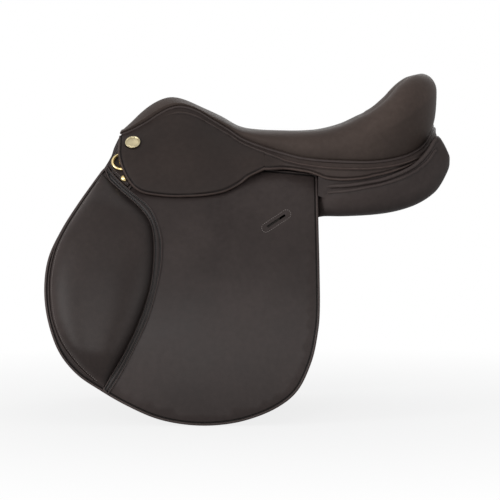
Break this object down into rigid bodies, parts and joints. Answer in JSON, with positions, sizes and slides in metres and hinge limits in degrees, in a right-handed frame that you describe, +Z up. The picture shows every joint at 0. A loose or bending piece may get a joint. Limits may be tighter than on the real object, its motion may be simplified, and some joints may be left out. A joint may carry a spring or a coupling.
{
  "type": "jumping saddle",
  "caption": "Leather jumping saddle with a sprung tree, deep seat, hinged flaps and skirts, padded knee rolls, girth straps, flocked panels, stirrup bars and brass dees.",
  "frame": {"origin": "on the middle plane between the panels, level with the lowest part of the rear panels, where the saddle sits over a horse's spine", "axes": "+X from the pommel to the cantle, +Y toward the off (right) side, +Z up"},
  "size_m": [0.588, 0.4616, 0.5025],
  "materials": {
    "leather": "smooth, lightly glossed dark brown",
    "lining_leather": "soft matt dark brown",
    "strap_leather": "waxed dark brown",
    "webbing": "natural webbing and foam",
    "beech": "laminated",
    "steel": "satin",
    "brass": "polished pale brass"
  },
  "bodies": {
    "saddle": {"seat_cover": "leather", "seat_foam": "webbing", "seat_welt": "leather", "skirt_left": "leather", "skirt_right": "leather", "skirt_studs": "brass", "front_facing": "leather", "rear_facing": "leather", "gullet_lining": "lining_leather", "tree_head": "beech", "tree_cantle": "beech", "tree_side_left": "beech", "tree_side_right": "beech", "tree_rail_left": "beech", "tree_rail_right": "beech", "tree_spring_left": "steel", "tree_spring_right": "steel", "gullet_plate": "steel", "seat_strainers": "webbing", "girth_webs_left": "webbing", "girth_webs_right": "webbing", "panel_left": "lining_leather", "panel_right": "lining_leather", "panel_welt_left": "leather", "panel_welt_right": "leather", "sweat_flap_left": "lining_leather", "sweat_flap_right": "lining_leather", "point_cover_left": "leather", "point_cover_right": "leather", "stirrup_bar_left": "steel", "stirrup_bar_right": "steel", "catch_pins": "steel", "bar_rivets": "steel", "dee_clip_left": "brass", "dee_clip_right": "brass", "dee_screws": "brass"},
    "flap_left": {"flap_left": "leather", "knee_pad_left": "leather", "knee_tape_left": "leather"},
    "skirt_lap_left": {"skirt_lap_left": "leather"},
    "girth_guard_left": {"girth_guard_left": "strap_leather"},
    "dee_left": {"dee_ring_left": "brass"},
    "catch_left": {"stirrup_catch_left": "steel"},
    "girth_strap_front_left": {"girth_strap_front_left": "strap_leather"},
    "girth_strap_middle_left": {"girth_strap_middle_left": "strap_leather"},
    "girth_strap_rear_left": {"girth_strap_rear_left": "strap_leather"},
    "flap_right": {"flap_right": "leather", "knee_pad_right": "leather", "knee_tape_right": "leather"},
    "skirt_lap_right": {"skirt_lap_right": "leather"},
    "girth_guard_right": {"girth_guard_right": "strap_leather"},
    "dee_right": {"dee_ring_right": "brass"},
    "catch_right": {"stirrup_catch_right": "steel"},
    "girth_strap_front_right": {"girth_strap_front_right": "strap_leather"},
    "girth_strap_middle_right": {"girth_strap_middle_right": "strap_leather"},
    "girth_strap_rear_right": {"girth_strap_rear_right": "strap_leather"}
  },
  "joints": [
    {"name": "flap_left_lift", "type": "hinge", "parent": "saddle", "child": "flap_left", "pos_m": [-0.035, -0.11034, 0.082], "axis": [-0.9924, 0.0683, 0.1024], "range_deg": [0, 75]},
    {"name": "skirt_left_lift", "type": "hinge", "parent": "flap_left", "child": "skirt_lap_left", "pos_m": [-0.035, -0.11034, 0.082], "axis": [-0.9924, 0.0683, 0.1024], "range_deg": [0, 55]},
    {"name": "girth_strap_front_left_swing", "type": "hinge", "parent": "saddle", "child": "girth_strap_front_left", "pos_m": [-0.072, -0.12419, 0.01], "axis": [0, -0.8787, 0.4774], "range_deg": [-8, 3.2]},
    {"name": "girth_strap_middle_left_swing", "type": "hinge", "parent": "saddle", "child": "girth_strap_middle_left", "pos_m": [-0.006, -0.12419, 0.01], "axis": [0, -0.8787, 0.4774], "range_deg": [-3.2, 1.6]},
    {"name": "girth_strap_rear_left_swing", "type": "hinge", "parent": "saddle", "child": "girth_strap_rear_left", "pos_m": [0.038, -0.12419, 0.01], "axis": [0, -0.8787, 0.4774], "range_deg": [-1.6, 8]},
    {"name": "girth_guard_left_slide", "type": "hinge", "parent": "saddle", "child": "girth_guard_left", "pos_m": [-0.015, 0.53456, -0.34792], "axis": [-1, 0, 0], "range_deg": [0, 3.4]},
    {"name": "dee_left_swing", "type": "hinge", "parent": "saddle", "child": "dee_left", "pos_m": [-0.176, -0.09535, 0.08195], "axis": [-0.2079, 0.5514, 0.8079], "range_deg": [0, 40]},
    {"name": "catch_left_turn", "type": "hinge", "parent": "saddle", "child": "catch_left", "pos_m": [-0.048, -0.10492, 0.07596], "axis": [0, -0.8335, 0.5525], "range_deg": [0, 80]},
    {"name": "flap_right_lift", "type": "hinge", "parent": "saddle", "child": "flap_right", "pos_m": [-0.035, 0.11034, 0.082], "axis": [0.9924, 0.0683, -0.1024], "range_deg": [0, 75]},
    {"name": "skirt_right_lift", "type": "hinge", "parent": "flap_right", "child": "skirt_lap_right", "pos_m": [-0.035, 0.11034, 0.082], "axis": [0.9924, 0.0683, -0.1024], "range_deg": [0, 55]},
    {"name": "girth_strap_front_right_swing", "type": "hinge", "parent": "saddle", "child": "girth_strap_front_right", "pos_m": [-0.072, 0.12419, 0.01], "axis": [0, -0.8787, -0.4774], "range_deg": [-8, 3.2]},
    {"name": "girth_strap_middle_right_swing", "type": "hinge", "parent": "saddle", "child": "girth_strap_middle_right", "pos_m": [-0.006, 0.12419, 0.01], "axis": [0, -0.8787, -0.4774], "range_deg": [-3.2, 1.6]},
    {"name": "girth_strap_rear_right_swing", "type": "hinge", "parent": "saddle", "child": "girth_strap_rear_right", "pos_m": [0.038, 0.12419, 0.01], "axis": [0, -0.8787, -0.4774], "range_deg": [-1.6, 8]},
    {"name": "girth_guard_right_slide", "type": "hinge", "parent": "saddle", "child": "girth_guard_right", "pos_m": [-0.015, -0.53456, -0.34792], "axis": [1, 0, 0], "range_deg": [0, 3.4]},
    {"name": "dee_right_swing", "type": "hinge", "parent": "saddle", "child": "dee_right", "pos_m": [-0.176, 0.09535, 0.08195], "axis": [0.2079, 0.5514, -0.8079], "range_deg": [0, 40]},
    {"name": "catch_right_turn", "type": "hinge", "parent": "saddle", "child": "catch_right", "pos_m": [-0.048, 0.10492, 0.07596], "axis": [0, -0.8335, -0.5525], "range_deg": [0, 80]}
  ]
}
